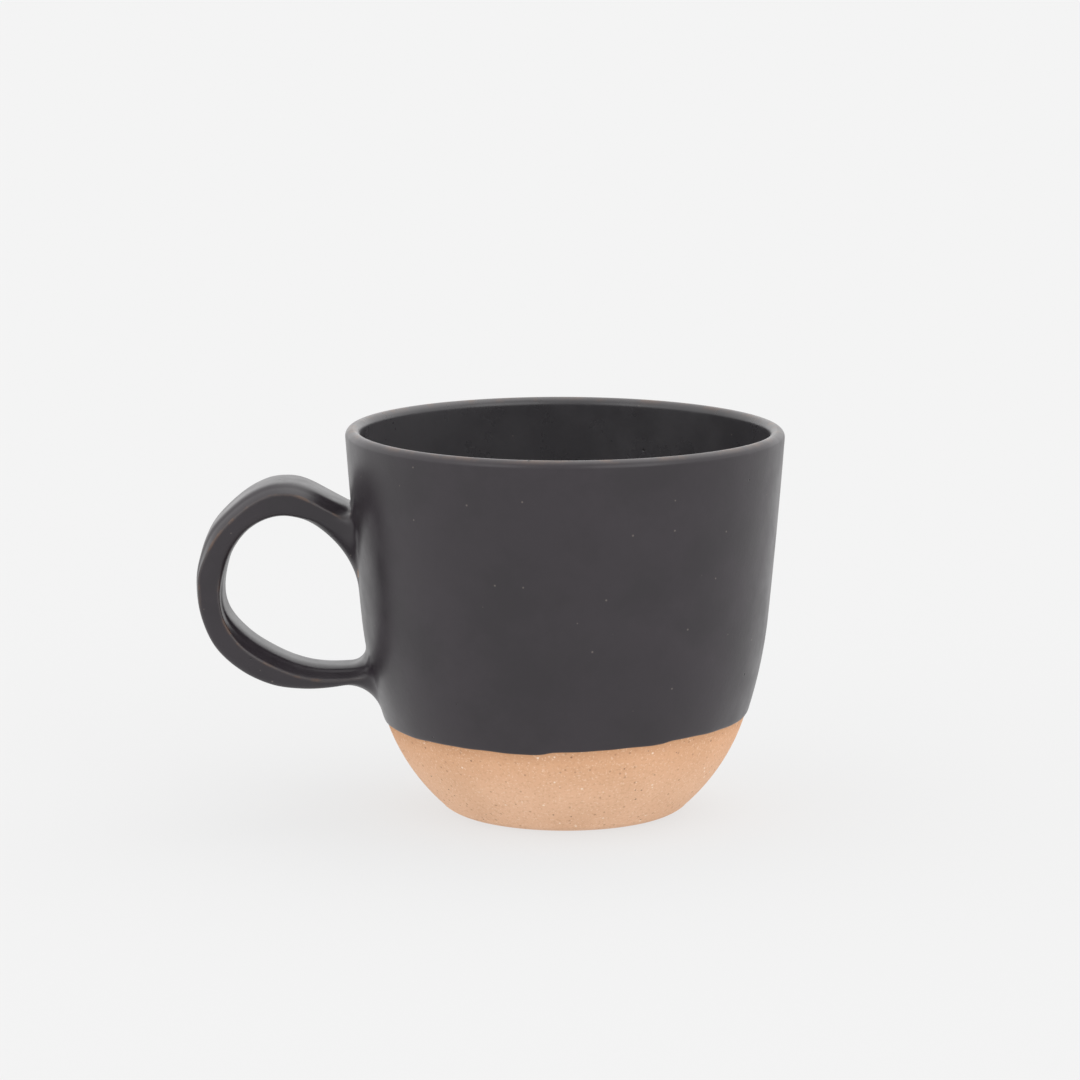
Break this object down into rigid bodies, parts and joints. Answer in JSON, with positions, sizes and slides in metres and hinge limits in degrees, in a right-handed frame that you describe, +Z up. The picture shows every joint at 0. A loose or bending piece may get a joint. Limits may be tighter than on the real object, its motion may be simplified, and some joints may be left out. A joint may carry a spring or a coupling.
{
  "type": "mug",
  "caption": "Rounded stoneware mug with a round strap handle, dark satin glaze and a bare clay foot.",
  "frame": {"origin": "centre of the foot ring, on the surface that the mug stands on", "axes": "+Z up along the axis of the cup; the handle points along -X; Y runs across the strap of the handle"},
  "size_m": [0.1346, 0.1004, 0.089],
  "materials": {
    "bare_clay": "unglazed tan stoneware with fine dark and pale grog",
    "strap_clay": "unglazed tan stoneware, hidden under the glaze",
    "slip_clay": "smooth fired slip, hidden under the glaze",
    "outer_glaze": "satin charcoal glaze with pinholes",
    "liner_glaze": "satin charcoal glaze, slightly glossier"
  },
  "bodies": {
    "root": {"cup_body": "bare_clay", "handle_strap": "strap_clay", "upper_slip_joint": "slip_clay", "lower_slip_joint": "slip_clay", "outer_glaze_coat": "outer_glaze", "liner_glaze_coat": "liner_glaze"}
  },
  "joints": []
}
